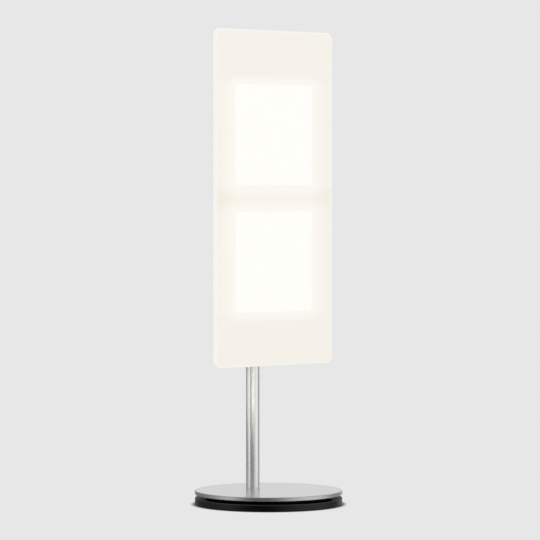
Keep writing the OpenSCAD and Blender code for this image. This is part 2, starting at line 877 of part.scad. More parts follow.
module tile_emitter(side) {
    z = middle + side * tile_pitch / 2;
    color([1.0, 0.99, 0.95])
        block(lit_w - 2 * seat_gap, lit_w - 2 * seat_gap, tile_back - lit_t, tile_back, z = z);
}

module tile_emitter_upper() { tile_emitter(1); }

module tile_emitter_lower() { tile_emitter(-1); }

module heat_spreader(side) {
    taken = strip_h + 2 * strip_edge;
    h = tile_w - 2 * spreader_margin - taken;
    z = middle + side * (tile_pitch / 2 + taken / 2);
    color([0.75, 0.76, 0.77])
        block(tile_w - 2 * spreader_margin, h, tile_back, spreader_back, z = z);
}

module heat_spreader_upper() { heat_spreader(1); }

module heat_spreader_lower() { heat_spreader(-1); }

module contact_strip(side) {
    color([0.20, 0.42, 0.25])
        block(strip_w, strip_h, tile_back, tile_back + strip_t, z = middle + side * tile_lead_start);
}

module contact_strip_upper() { contact_strip(1); }

module contact_strip_lower() { contact_strip(-1); }

module tile_lead_upper() {
    color([0.90, 0.90, 0.90])
        tube_along(rounded(upper_route, lead_bend), tile_lead_d);
}

module tile_lead_lower() {
    color([0.90, 0.90, 0.90])
        tube_along(rounded(lower_route, lead_bend), tile_lead_d);
}

module driver_board() {
    z = (board_top + board_bottom) / 2;
    color([0.20, 0.42, 0.25])
        difference() {
            block(board_w, board_h, board_front, board_back, z = z);
            for (x = [-board_screw_x, board_screw_x], zs = board_screw_heights)
                along_y(board_front - over, board_back + over, board_screw_d / 2 + seat_gap, x, zs);
        }
}

// Coil, capacitors and two chips on the board's front
module driver_components() {
    tall = 3.2;
    chip_t = 1.6;
    chip_w = 6.6;
    coil_r = 5;
    can_r = 3.2;
    row_drop = 14;
    row = board_top - row_drop;
    color([0.18, 0.18, 0.19]) {
        along_y(board_front - tall, board_front, coil_r, 3 * coil_r, row);
        for (k = [1, 2])
            along_y(board_front - tall, board_front, can_r, -3 * k * can_r, row);
        for (z = [row, row - 2 * chip_w])
            block(chip_w, chip_w, board_front - chip_t, board_front, 0, z);
    }
}

module board_connectors() {
    color([0.95, 0.94, 0.90])
        for (x = connector_x)
            block(connector[0], connector[2], board_front - connector[1], board_front,
                x, board_bottom + connector[2] / 2);
}

module board_screws() {
    color([0.70, 0.70, 0.71])
        for (x = [-board_screw_x, board_screw_x], z = board_screw_heights) {
            along_y(board_front - board_head_t, board_front, board_head_d / 2, x, z);
            along_y(board_front - board_head_t / 2, housing_inside - seat_gap, board_screw_d / 2, x, z);
        }
}

module dimmer_switch() {
    color([0.12, 0.12, 0.13])
        difference() {
            block(switch_w, switch_w, board_back, switch_back, z = button_z);
            along_y(plunger_well, switch_back + over, plunger_d / 2 + running_gap, z = button_z);
        }
}

// BUTTON, which slides

module switch_plunger() {
    color([0.80, 0.80, 0.78])
        along_y(plunger_front, flange_front, plunger_d / 2, z = button_z);
}

module dimmer_button() {
    r = button_d / 2;
    rise = housing_wall + button_proud;
    lip = 0.8;
    steps = 6;
    dish_r = (pow(r - lip, 2) + pow(button_dish, 2)) / (2 * button_dish);
    dish_half = asin((r - lip) / dish_r);
    color([0.88, 0.87, 0.85])
        translate([0, housing_inside, button_z])
            rotate([-90, 0, 0])
                rotate_extrude()
                    polygon(concat(
                        [[0, -button_flange_t], [r + button_flange, -button_flange_t]],
                        [[r + button_flange, 0], [r, 0]],
                        arc(r - lip, rise - lip, lip, 0, 90, steps),
                        [for (k = [steps - 1 : -1 : 0])
                            let (a = dish_half * k / steps)
                                [dish_r * sin(a), rise - button_dish + dish_r * (1 - cos(a))]]
                    ));
}

foot_pad();
base_weight();
cord_gland();
terminal_block();
base_lead();
pivot_bush();
slide_ring();
steel_disc();
pivot();
pivot_screws();
retaining_ring();
wave_washer();
stop_pin();
stem_tube();
foot_bush();
foot_screw();
stem_cap();
stem_lead();
stem_spacer_upper();
stem_spacer_lower();
spacer_screws();
spacer_nuts();
wire_sleeve();
rear_housing();
bond_tape();
diffuser_plate();
tile_glass_upper();
tile_glass_lower();
tile_emitter_upper();
tile_emitter_lower();
heat_spreader_upper();
heat_spreader_lower();
contact_strip_upper();
contact_strip_lower();
tile_lead_upper();
tile_lead_lower();
driver_board();
driver_components();
board_connectors();
board_screws();
dimmer_switch();
switch_plunger();
dimmer_button();
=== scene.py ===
import json
import math

import bmesh
import bpy
from bpy.props import FloatProperty, FloatVectorProperty, PointerProperty
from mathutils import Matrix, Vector

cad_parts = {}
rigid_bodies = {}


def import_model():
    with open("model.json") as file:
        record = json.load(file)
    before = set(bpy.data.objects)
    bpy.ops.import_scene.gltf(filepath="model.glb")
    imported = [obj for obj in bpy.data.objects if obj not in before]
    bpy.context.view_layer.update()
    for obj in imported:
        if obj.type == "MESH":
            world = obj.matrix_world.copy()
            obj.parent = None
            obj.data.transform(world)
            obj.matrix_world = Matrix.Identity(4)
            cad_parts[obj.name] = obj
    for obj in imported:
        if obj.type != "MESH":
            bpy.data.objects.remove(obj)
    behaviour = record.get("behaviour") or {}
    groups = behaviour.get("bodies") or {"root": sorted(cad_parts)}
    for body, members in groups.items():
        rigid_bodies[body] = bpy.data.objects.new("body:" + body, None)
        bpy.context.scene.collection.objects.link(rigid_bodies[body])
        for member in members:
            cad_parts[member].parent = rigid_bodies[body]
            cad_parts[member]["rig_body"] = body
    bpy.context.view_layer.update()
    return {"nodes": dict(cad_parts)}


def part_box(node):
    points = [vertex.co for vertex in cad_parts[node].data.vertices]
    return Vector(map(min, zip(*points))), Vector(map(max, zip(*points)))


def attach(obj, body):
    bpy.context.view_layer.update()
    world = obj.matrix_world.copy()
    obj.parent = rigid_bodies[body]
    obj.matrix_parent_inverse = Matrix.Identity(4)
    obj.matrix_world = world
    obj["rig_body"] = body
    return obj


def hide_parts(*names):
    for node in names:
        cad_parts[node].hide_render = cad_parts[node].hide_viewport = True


bl_info = {
    "name": "OLED table lamp",
    "version": (1, 0, 0),
    "blender": (4, 5, 0),
    "location": "View3D > Sidebar > Lamp",
    "description": "Dresses the frame of an OLED table lamp and sets its stage",
    "category": "Object",
}

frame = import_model()

MM = 0.001
WHITE = (1.0, 1.0, 1.0, 1.0)
BLACK = (0.0, 0.0, 0.0, 1.0)
# Keeps the level part of a place or a direction
LEVEL = (1.0, 1.0, 0.0)
# Corners of a CAD mesh that lie closer than this are one
WELD = 0.001 * MM
# Edges that bend by more degrees than this stay sharp
SHARP = 40
# Depth of the lines on metal and of the plate's satin
FINE = 0.02 * MM
# Part of its own colour that the opal plate shows unlit, in a plain white surrounding
THROWN_BACK = 0.97

# Dark flags and bright cards that the metal mirrors: turn from the camera's side, half width and soft edge,
# in degrees, and the share of the light that they take. A card takes a negative share, so it adds light
FLAGS = (
    (-13, 34, 14, 1.0),
    (-119, 33, 14, 0.66),
    (-142, 18, 12, 0.4),
    (126, 16, 8, 0.78),
    (70, 18, 16, -0.45),
    (-60, 9, 8, -0.48),
    (180, 25, 15, 0.25),
)
# Heights of a mirrored direction, from -1 to 1. Between LOW and HIGH the light changes from its level below
# to that at the sides, which it has at 0, and on to that above. Flags and cards fade from CLEAR up
LOW = -0.3
HIGH = 0.25
CLEAR = 0.08
# Small lights round the tube: turn from the camera's side in degrees, width in millimetres, and level
GLOWS = (
    (1, 92, 1.5),
    (-60, 70, 0.25),
    (-98, 70, 0.38),
)


def linear(hex_colour):
    """Turn an sRGB hex value into linear red, green and blue."""
    channels = [int(hex_colour[i:i + 2], 16) / 255 for i in (0, 2, 4)]
    return tuple(c / 12.92 if c <= 0.04045 else ((c + 0.055) / 1.055) ** 2.4 for c in channels)


def opaque(tint, share=1.0):
    """A share of a linear colour, with full alpha."""
    return (*(share * c for c in tint), 1.0)


def given_out(shown, surface):
    """Light that a surface gives out to show a colour, beyond what it reflects of a white surrounding."""
    return opaque([max(s - THROWN_BACK * c, 0.0) for s, c in zip(shown, surface)])


def per_mm(size):
    """Noise scale that makes features of this many millimetres, on coordinates in metres."""
    return 1.0 / (size * MM)


def size_of(node):
    """Width, depth and height of a CAD node."""
    low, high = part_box(node)
    return high - low


def middle_of(node):
    """Centre of a CAD node's box."""
    low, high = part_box(node)
    return (low + high) / 2


# Settings that a user would change


def length(name, description, default):
    """A length in metres."""
    return FloatProperty(name=name, description=description, default=default, unit="LENGTH", precision=5)


def angle(name, description, degrees):
    """An angle, written in degrees."""
    return FloatProperty(name=name, description=description, default=math.radians(degrees), subtype="ANGLE")


def number(name, description, default):
    """A plain number."""
    return FloatProperty(name=name, description=description, default=default)


def colour(name, description, hex_colour):
    """A colour, written as an sRGB hex value."""
    return FloatVectorProperty(name=name, description=description, subtype="COLOR", size=3,
                               min=0.0, max=1.0, default=linear(hex_colour))


class LampSizes(bpy.types.PropertyGroup):
    """Sizes of the modelled pieces, and of what shows on them."""

    plate_corner: length("Plate corner", "Corner radius of the diffuser plate", 6 * MM)
    plate_edge: length("Plate edge", "Rounding of the diffuser plate's polished edges", 0.6 * MM)
    lit_side: length("Lit square", "Side of a lit square", size_of("tile_emitter_upper").x)
    lit_soft: length("Lit edge", "Width over which a lit square's edge fades", 1.2 * MM)
    lit_shift: length("Lit shift", "Sideways offset of the lit squares from the plate's middle", -0.75 * MM)
    halo_reach: length("Halo reach", "Width of the near glow round a lit square", 9 * MM)
    glow_reach: length("Glow reach", "How far the warm glow spreads round a lit square", 26 * MM)
    end_fade: number("End fade", "How much faster the warm glow fades towards the plate's ends", 1.4)
    gap_core: number("Gap core", "Share of the gap between the lit squares that is darkest", 0.4)
    rim_reach: length("Rim reach", "Width of the brighter rim along the plate's outline", 2.5 * MM)
    # Painted highlight: reach of the paler line that stands in for light caught on the weight disc's upper
    # edge
    edge_highlight_reach: length("Edge highlight reach", "Width of the paler line on the weight disc's upper edge", 0.9 * MM)


class LampColours(bpy.types.PropertyGroup):
    """Colours of the finishes."""

    opal: colour("Opal acrylic", "Colour of the unlit plate", "C6C3BC")
    lit: colour("Lit square", "Colour that the plate shows over a lit tile", "FFFEF9")
    near: colour("Near glow", "Colour that the plate shows beside a lit square", "FBF8F2")
    warm: colour("Warm glow", "Colour that the plate shows between the near and the far glow", "FCF8F0")
    far: colour("Far glow", "Colour that the plate shows away from the tiles", "F6F2E9")
    gap: colour("Gap glow", "Colour that the plate shows level with the gap between the tiles", "F3EFE4")
    rim: colour("Rim glow", "Colour that the plate shows along its outline", "F7F7F1")
    edge: colour("Edge glow", "Colour that the plate's polished edges show", "FFFCF4")
    steel: colour("Tube steel", "Reflection colour of the satin tube", "FFFFFF")
    disc: colour("Disc steel", "Reflection colour of the steel disc's top", "DCDCDC")
    # Partly painted shade: the rim is darker than the faces partly for its turned finish, partly to stand
    # in for the darker surroundings it mirrors
    turned: colour("Disc rim", "Reflection colour of the steel disc's turned rim", "A9A9A9")
    black: colour("Powder coat", "Colour of the weight disc", "060606")
    # Painted highlight: this paler colour stands in for light that the weight disc's upper edge catches
    edge_highlight: colour("Edge highlight", "Colour of the powder coat along the weight disc's upper edge", "3A3A3A")
    housing: colour("Housing", "Colour of the rear housing", "ECEAE6")


class LampStage(bpy.types.PropertyGroup):
    """Camera, light and ground."""

    ground: colour("Ground", "Colour of the floor and the backdrop", "E7E7E7")
    lens: FloatProperty(name="Lens", description="Focal length of the camera", default=195.0, unit="CAMERA")
    place: FloatVectorProperty(name="Camera place", description="Where the camera stands", size=3,
                               subtype="XYZ", unit="LENGTH", default=(-1.674, -1.955, 0.2778))
    heading: angle("Camera heading", "Turn of the view away from straight back", -40.6)
    dip: angle("Camera dip", "Tilt of the view below the horizon", 1.586)
    floor_radius: length("Floor radius", "Radius of the floor", 60.0)
    contact: length("Contact shadow", "Reach of the dark contact shadow round the base", 5 * MM)
    contact_power: number("Contact depth", "Power that deepens the contact shadow", 2.8)
    mirrored: number("Mirrored light", "Level that metal mirrors from the sides", 1.41)
    under: number("Light from below", "Level that metal mirrors from below", 0.75)
    overhead: number("Overhead light", "Level that metal mirrors from above", 0.8)
    glow: colour("Glow", "Colour of the small lights round the tube", "FFFFF1")
    glow_away: length("Glow distance", "How far the small lights stand from the tube", 75 * MM)
    glow_height: length("Glow height", "Height of the small lights", 22 * MM)
    glow_drop: length("Glow drop", "How far the small lights' middle is below the plate's edge", 25.3 * MM)
    glow_spread: angle("Glow spread", "Angle into which the small lights shine", 84)


# Helpers for pieces, materials and lights


def add(tree, kind, sockets=None, **settings):
    """Add a node, with its settings and with values or links for its sockets."""
    made = tree.nodes.new(kind)
    for name, value in settings.items():
        setattr(made, name, value)
    for key, value in (sockets or {}).items():
        if isinstance(value, bpy.types.NodeSocket):
            tree.links.new(value, made.inputs[key])
        else:
            made.inputs[key].default_value = value
    return made


def new_material(name, **constants):
    """Start a material with one Principled shader, whose constant sockets are given with _ for a space."""
    made = bpy.data.materials.new(name)
    made.use_nodes = True
    tree = made.node_tree
    shader = tree.nodes["Principled BSDF"]
    for key, value in constants.items():
        shader.inputs[key.replace("_", " ")].default_value = value
    return made, tree, shader


def feed(tree, node, **sources):
    """Link outputs to a node's sockets, which are given with _ for a space."""
    for key, source in sources.items():
        tree.links.new(source, node.inputs[key.replace("_", " ")])


def paint(made, *nodes):
    """Give CAD nodes a material."""
    for name in nodes:
        mesh = frame["nodes"][name].data
        mesh.materials.clear()
        mesh.materials.append(made)


def dress(bm, name, node, slot, *finishes):
    """Make a piece from a bmesh that stands for a CAD node and moves with its body."""
    mesh = bpy.data.meshes.new(name)
    bm.to_mesh(mesh)
    bm.free()
    for made in finishes:
        mesh.materials.append(made)
    piece = bpy.data.objects.new(name, mesh)
    bpy.context.scene.collection.objects.link(piece)
    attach(piece, frame["nodes"][node]["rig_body"])
    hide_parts(node)
    return piece


def merged_copy(node):
    """A bmesh of a CAD node with its loose triangles joined."""
    bm = bmesh.new()
    bm.from_mesh(frame["nodes"][node].data)
    bmesh.ops.remove_doubles(bm, verts=bm.verts, dist=WELD)
    return bm


def smooth(piece):
    """Shade a piece smooth, with its sharp edges kept, and flat faces kept flat."""
    piece.data.polygons.foreach_set("use_smooth", [True] * len(piece.data.polygons))
    piece.data.set_sharp_from_angle(angle=math.radians(SHARP))
    even = piece.modifiers.new("even_normals", "WEIGHTED_NORMAL")
    even.keep_sharp = True


def towards(stage, turn):
    """Level direction that lies this many degrees round from the camera's side."""
    side = stage.heading + math.radians(turn)
    return Vector((math.sin(side), -math.cos(side), 0.0))


# Materials


def moulded(name, tint, grain, depth, roughness, gloss_level=0.5):
    """Moulded, cut or coated surface: a fine grain breaks up the gloss, and the colour clouds a little.

    Grain is the size of the grain and depth its depth, in millimetres.
    """
    cloud_size = 18
    cloud_shade = 0.97
    swing = 0.06
    made, tree, shader = new_material(name, IOR=1.5, Specular_IOR_Level=gloss_level)
    place = add(tree, "ShaderNodeTexCoord").outputs["Object"]
    cloud = add(tree, "ShaderNodeTexNoise", {"Vector": place, "Scale": per_mm(cloud_size), "Detail": 2})
    fine = add(tree, "ShaderNodeTexNoise", {"Vector": place, "Scale": per_mm(grain), "Detail": 3})
    shade = add(tree, "ShaderNodeMix",
                {"Factor": cloud.outputs["Fac"], "A": opaque(tint, cloud_shade), "B": opaque(tint)},
                data_type="RGBA")
    gloss = add(tree, "ShaderNodeMapRange",
                {"Value": fine.outputs["Fac"], "To Min": roughness - swing, "To Max": roughness + swing})
    bump = add(tree, "ShaderNodeBump",
               {"Height": fine.outputs["Fac"], "Strength": 0.5, "Distance": depth * MM})
    feed(tree, shader, Base_Color=shade.outputs["Result"], Roughness=gloss.outputs["Result"],
         Normal=bump.outputs["Normal"])
    return made


def tool_lines(tree, groove):
    """Lines that a tool left on metal, and their bump.

    Groove is the lines' size along each axis, in millimetres.
    """
    place = add(tree, "ShaderNodeTexCoord").outputs["Object"]
    stretch = add(tree, "ShaderNodeMapping", {"Vector": place, "Scale": [per_mm(size) for size in groove]})
    lines = add(tree, "ShaderNodeTexNoise",
                {"Vector": stretch.outputs["Vector"], "Scale": 1.0, "Detail": 4})
    bump = add(tree, "ShaderNodeBump", {"Height": lines.outputs["Fac"], "Strength": 0.15, "Distance": FINE})
    return lines.outputs["Fac"], bump.outputs["Normal"]


def machined(name, tint, roughness, groove, anisotropy=0.0):
    """Turned, ground or sheet metal: fine lines in one direction spread the reflections across them."""
    line_shade = 0.94
    swing = 0.03
    quarter_turn = 0.25
    made, tree, shader = new_material(name, Metallic=1.0, Anisotropic=anisotropy)
    lines, bump = tool_lines(tree, groove)
    shade = add(tree, "ShaderNodeMix", {"Factor": lines, "A": opaque(tint, line_shade), "B": opaque(tint)},
                data_type="RGBA")
    gloss = add(tree, "ShaderNodeMapRange",
                {"Value": lines, "To Min": roughness - swing, "To Max": roughness + swing})
    feed(tree, shader, Base_Color=shade.outputs["Result"], Roughness=gloss.outputs["Result"], Normal=bump)
    if anisotropy:
        round_axis = add(tree, "ShaderNodeTangent", direction_type="RADIAL", axis="Z")
        feed(tree, shader, Tangent=round_axis.outputs["Tangent"])
        shader.inputs["Anisotropic Rotation"].default_value = quarter_turn
    return made


def ground_sheet(colours):
    """Stainless sheet: satin ground faces mirror the tube a little veiled, and the turned rim is duller,
    partly for its rougher turned finish and partly as painted shade in its darker reflection colour.
    """
    dark_line = 0.91
    pale_line = 1.09
    rim_roughness = 0.42
    made, tree, shader = new_material("stainless steel, satin ground sheet", Metallic=0.85)
    # Real polishing lines are about 0.05 mm apart; they are drawn coarser so that they show
    lines, bump = tool_lines(tree, groove=(130, 0.9, 0.9))
    deep = add(tree, "ShaderNodeMapRange", {"Value": lines, "From Min": 0.3, "From Max": 0.7})
    drawn = add(tree, "ShaderNodeMix",
                {"Factor": deep.outputs["Result"], "A": opaque(colours.disc, dark_line),
                 "B": opaque(colours.disc, pale_line)}, data_type="RGBA")
    # The faces point up or down, and the rim doesn't. The rim's darker tint is partly painted shade
    place = add(tree, "ShaderNodeTexCoord")
    axes = add(tree, "ShaderNodeSeparateXYZ", {"Vector": place.outputs["Normal"]})
    upright = add(tree, "ShaderNodeMath", {0: axes.outputs["Z"]}, operation="ABSOLUTE")
    flat = add(tree, "ShaderNodeMapRange",
               {"Value": upright.outputs["Value"], "From Min": 0.8, "From Max": 0.95})
    tint = add(tree, "ShaderNodeMix",
               {"Factor": flat.outputs["Result"], "A": opaque(colours.turned),
                "B": drawn.outputs["Result"]}, data_type="RGBA")
    satin = add(tree, "ShaderNodeMapRange", {"Value": lines, "To Min": 0.2, "To Max": 0.3})
    gloss = add(tree, "ShaderNodeMix",
                {"Factor": flat.outputs["Result"], "A": rim_roughness, "B": satin.outputs["Result"]})
    feed(tree, shader, Base_Color=tint.outputs["Result"], Roughness=gloss.outputs["Result"], Normal=bump)
    return made


def powder_coat(sizes, colours):
    """Powder coat on steel: a fine orange peel, and a thin paler line along the upper edge, which is a
    painted highlight of the light that the edge catches.
    """
    made = moulded("steel, black powder coat", colours.black, grain=0.7, depth=0.02, roughness=0.42,
                   gloss_level=0.2)
    tree = made.node_tree
    shader = tree.nodes["Principled BSDF"]
    coat = shader.inputs["Base Color"].links[0].from_socket
    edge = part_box("base_weight")[1]
    place = add(tree, "ShaderNodeTexCoord").outputs["Object"]
    axes = add(tree, "ShaderNodeSeparateXYZ", {"Vector": place})
    level = add(tree, "ShaderNodeVectorMath", {0: place, 1: LEVEL}, operation="MULTIPLY")
    radius = add(tree, "ShaderNodeVectorMath", {0: level.outputs["Vector"]}, operation="LENGTH")
    inward = add(tree, "ShaderNodeMath", {0: edge.x, 1: radius.outputs["Value"]}, operation="SUBTRACT")
    down = add(tree, "ShaderNodeMath", {0: edge.z, 1: axes.outputs["Z"]}, operation="SUBTRACT")
    apart = add(tree, "ShaderNodeCombineXYZ", {"X": inward.outputs["Value"], "Y": down.outputs["Value"]})
    away = add(tree, "ShaderNodeVectorMath", {0: apart.outputs["Vector"]}, operation="LENGTH")
    # Painted highlight: the coat turns paler within this reach of the upper edge, where the edge catches
    # light
    edge_highlight = add(tree, "ShaderNodeMapRange",
                 {"Value": away.outputs["Value"], "From Min": sizes.edge_highlight_reach, "From Max": 0.0},
                 interpolation_type="SMOOTHSTEP")
    shade = add(tree, "ShaderNodeMix",
                {"Factor": edge_highlight.outputs["Result"], "A": coat, "B": opaque(colours.edge_highlight)},
                data_type="RGBA")
    feed(tree, shader, Base_Color=shade.outputs["Result"])
    return made


def opal_acrylic(sizes, colours):
    """Opal acrylic, etched to a satin face: the tiles show as crisp lit squares in a soft warm glow."""
    made, tree, shader = new_material("opal acrylic, satin face", IOR=1.49, Roughness=0.42,
                                      Emission_Strength=1.0, Base_Color=opaque(colours.opal))
    plate = size_of("diffuser_plate")
    pitch = middle_of("tile_emitter_upper").z - middle_of("tile_emitter_lower").z
    half = sizes.lit_side / 2
    half_gap = pitch / 2 - half
    satin_size = 0.6
    place = add(tree, "ShaderNodeTexCoord").outputs["Object"]

    # Place on the plate, measured from its middle and from the middle of the nearer tile
    on_plate = add(tree, "ShaderNodeMapping", {"Vector": place, "Location": -middle_of("diffuser_plate")})
    axes = add(tree, "ShaderNodeSeparateXYZ", {"Vector": on_plate.outputs["Vector"]})
    across = add(tree, "ShaderNodeMath", {0: axes.outputs["X"]}, operation="ABSOLUTE")
    up = add(tree, "ShaderNodeMath", {0: axes.outputs["Z"]}, operation="ABSOLUTE")
    shifted = add(tree, "ShaderNodeMath", {0: axes.outputs["X"], 1: sizes.lit_shift}, operation="SUBTRACT")
    tile_across = add(tree, "ShaderNodeMath", {0: shifted.outputs["Value"]}, operation="ABSOLUTE")
    endward = add(tree, "ShaderNodeMath", {0: up.outputs["Value"], 1: pitch / 2}, operation="SUBTRACT")
    tile_up = add(tree, "ShaderNodeMath", {0: endward.outputs["Value"]}, operation="ABSOLUTE")

    # Distances beyond the lit square, sideways, up or down, and towards the plate's end
    beside, above, past_end = (
        add(tree, "ShaderNodeMath", {0: way.outputs["Value"], 1: half},
            operation="SUBTRACT", use_clamp=True)
        for way in (tile_across, tile_up, endward))
    apart = add(tree, "ShaderNodeCombineXYZ", {"X": beside.outputs["Value"], "Y": above.outputs["Value"]})
    away = add(tree, "ShaderNodeVectorMath", {0: apart.outputs["Vector"]}, operation="LENGTH")
    corner = add(tree, "ShaderNodeMath", {0: beside.outputs["Value"], 1: above.outputs["Value"]},
                 operation="ADD")
    detour = add(tree, "ShaderNodeMath",
                 {0: past_end.outputs["Value"], 1: sizes.end_fade, 2: corner.outputs["Value"]},
                 operation="MULTIPLY_ADD")
    square = add(tree, "ShaderNodeMath", {0: tile_across.outputs["Value"], 1: tile_up.outputs["Value"]},
                 operation="MAXIMUM")
    side_gap = add(tree, "ShaderNodeMath", {0: plate.x / 2, 1: across.outputs["Value"]},
                   operation="SUBTRACT")
    end_gap = add(tree, "ShaderNodeMath", {0: plate.z / 2, 1: up.outputs["Value"]}, operation="SUBTRACT")
    inset = add(tree, "ShaderNodeMath", {0: side_gap.outputs["Value"], 1: end_gap.outputs["Value"]},
                operation="MINIMUM")

    # Layers of light, each over the one before: colour, distance, where it ends and where it is full
    layer = given_out(colours.far, colours.opal)
    for shown, distance, end, full in (
            (colours.gap, up, half_gap, sizes.gap_core * half_gap),
            (colours.warm, detour, sizes.glow_reach, 0.0),
            (colours.near, away, sizes.halo_reach, 0.0),
            (colours.rim, inset, sizes.rim_reach, 0.0),
            (colours.lit, square, half + sizes.lit_soft / 2, half - sizes.lit_soft / 2)):
        share = add(tree, "ShaderNodeMapRange",
                    {"Value": distance.outputs["Value"], "From Min": end, "From Max": full},
                    interpolation_type="SMOOTHSTEP")
        mixed = add(tree, "ShaderNodeMix",
                    {"Factor": share.outputs["Result"], "A": layer, "B": given_out(shown, colours.opal)},
                    data_type="RGBA")
        layer = mixed.outputs["Result"]

    satin = add(tree, "ShaderNodeTexNoise", {"Vector": place, "Scale": per_mm(satin_size), "Detail": 2})
    bump = add(tree, "ShaderNodeBump", {"Height": satin.outputs["Fac"], "Strength": 0.2, "Distance": FINE})
    feed(tree, shader, Emission_Color=layer, Normal=bump.outputs["Normal"])
    return made


def polished_edge(colours):
    """Opal acrylic, flame polished: the edges pipe the light out and glow brighter than the faces."""
    wave_size = 12
    wave_shade = 0.97
    made, tree, shader = new_material("opal acrylic, polished edge", IOR=1.49, Emission_Strength=1.0,
                                      Emission_Color=given_out(colours.edge, colours.opal))
    place = add(tree, "ShaderNodeTexCoord").outputs["Object"]
    wave = add(tree, "ShaderNodeTexNoise", {"Vector": place, "Scale": per_mm(wave_size), "Detail": 1})
    gloss = add(tree, "ShaderNodeMapRange", {"Value": wave.outputs["Fac"], "To Min": 0.12, "To Max": 0.22})
    shade = add(tree, "ShaderNodeMix",
                {"Factor": wave.outputs["Fac"], "A": opaque(colours.opal, wave_shade),
                 "B": opaque(colours.opal)}, data_type="RGBA")
    feed(tree, shader, Base_Color=shade.outputs["Result"], Roughness=gloss.outputs["Result"])
    return made


def lit_film(colours):
    """Organic light film: a warm glow that is even, with faint clouds."""
    cloud_size = 40
    made, tree, shader = new_material("organic light film, glowing", Roughness=0.3, IOR=1.7,
                                      Base_Color=opaque(colours.near), Emission_Color=opaque(colours.lit))
    place = add(tree, "ShaderNodeTexCoord").outputs["Object"]
    cloud = add(tree, "ShaderNodeTexNoise", {"Vector": place, "Scale": per_mm(cloud_size)})
    glow = add(tree, "ShaderNodeMapRange", {"Value": cloud.outputs["Fac"], "To Min": 0.95, "To Max": 1.05})
    feed(tree, shader, Emission_Strength=glow.outputs["Result"])
    return made


def float_glass():
    """Float glass, cut: clear and smooth, with a faint green cast."""
    wave_size = 25
    made, tree, shader = new_material("float glass, cut", Transmission_Weight=1.0, IOR=1.52,
                                      Base_Color=opaque(linear("EEF4F1")))
    place = add(tree, "ShaderNodeTexCoord").outputs["Object"]
    wave = add(tree, "ShaderNodeTexNoise", {"Vector": place, "Scale": per_mm(wave_size)})
    gloss = add(tree, "ShaderNodeMapRange", {"Value": wave.outputs["Fac"], "To Min": 0.02, "To Max": 0.06})
    feed(tree, shader, Roughness=gloss.outputs["Result"])
    return made


def circuit_board():
    """Glass-fibre board under solder mask: a dark, fairly glossy green."""
    return moulded("circuit board, solder mask", linear("2C5A38"), grain=0.8, depth=0.03, roughness=0.35)


def epoxy():
    """Epoxy, moulded: the dull black of electronic parts."""
    return moulded("epoxy, moulded black", linear("242426"), grain=0.4, depth=0.03, roughness=0.5)


def matt_paint(stage):
    """Matt floor paint: the camera sees an even tone with a dark contact shadow round the base."""
    made, tree, shader = new_material("floor, matt paint", Roughness=1.0, Specular_IOR_Level=0.0,
                                      Base_Color=opaque(stage.ground))
    near = add(tree, "ShaderNodeAmbientOcclusion", {"Distance": stage.contact}, samples=16)
    bare = add(tree, "ShaderNodeMath", {0: near.outputs["AO"], 1: stage.contact_power}, operation="POWER")
    shown = add(tree, "ShaderNodeMix",
                {"Factor": bare.outputs["Value"], "A": BLACK, "B": opaque(stage.ground)}, data_type="RGBA")
    plain = add(tree, "ShaderNodeEmission", {"Color": shown.outputs["Result"]})
    path = add(tree, "ShaderNodeLightPath")
    seen = add(tree, "ShaderNodeMixShader",
               {0: path.outputs["Is Camera Ray"], 1: shader.outputs["BSDF"], 2: plain.outputs["Emission"]})
    feed(tree, tree.nodes["Material Output"], Surface=seen.outputs["Shader"])
    return made


# Operators, one for each piece or group of like pieces


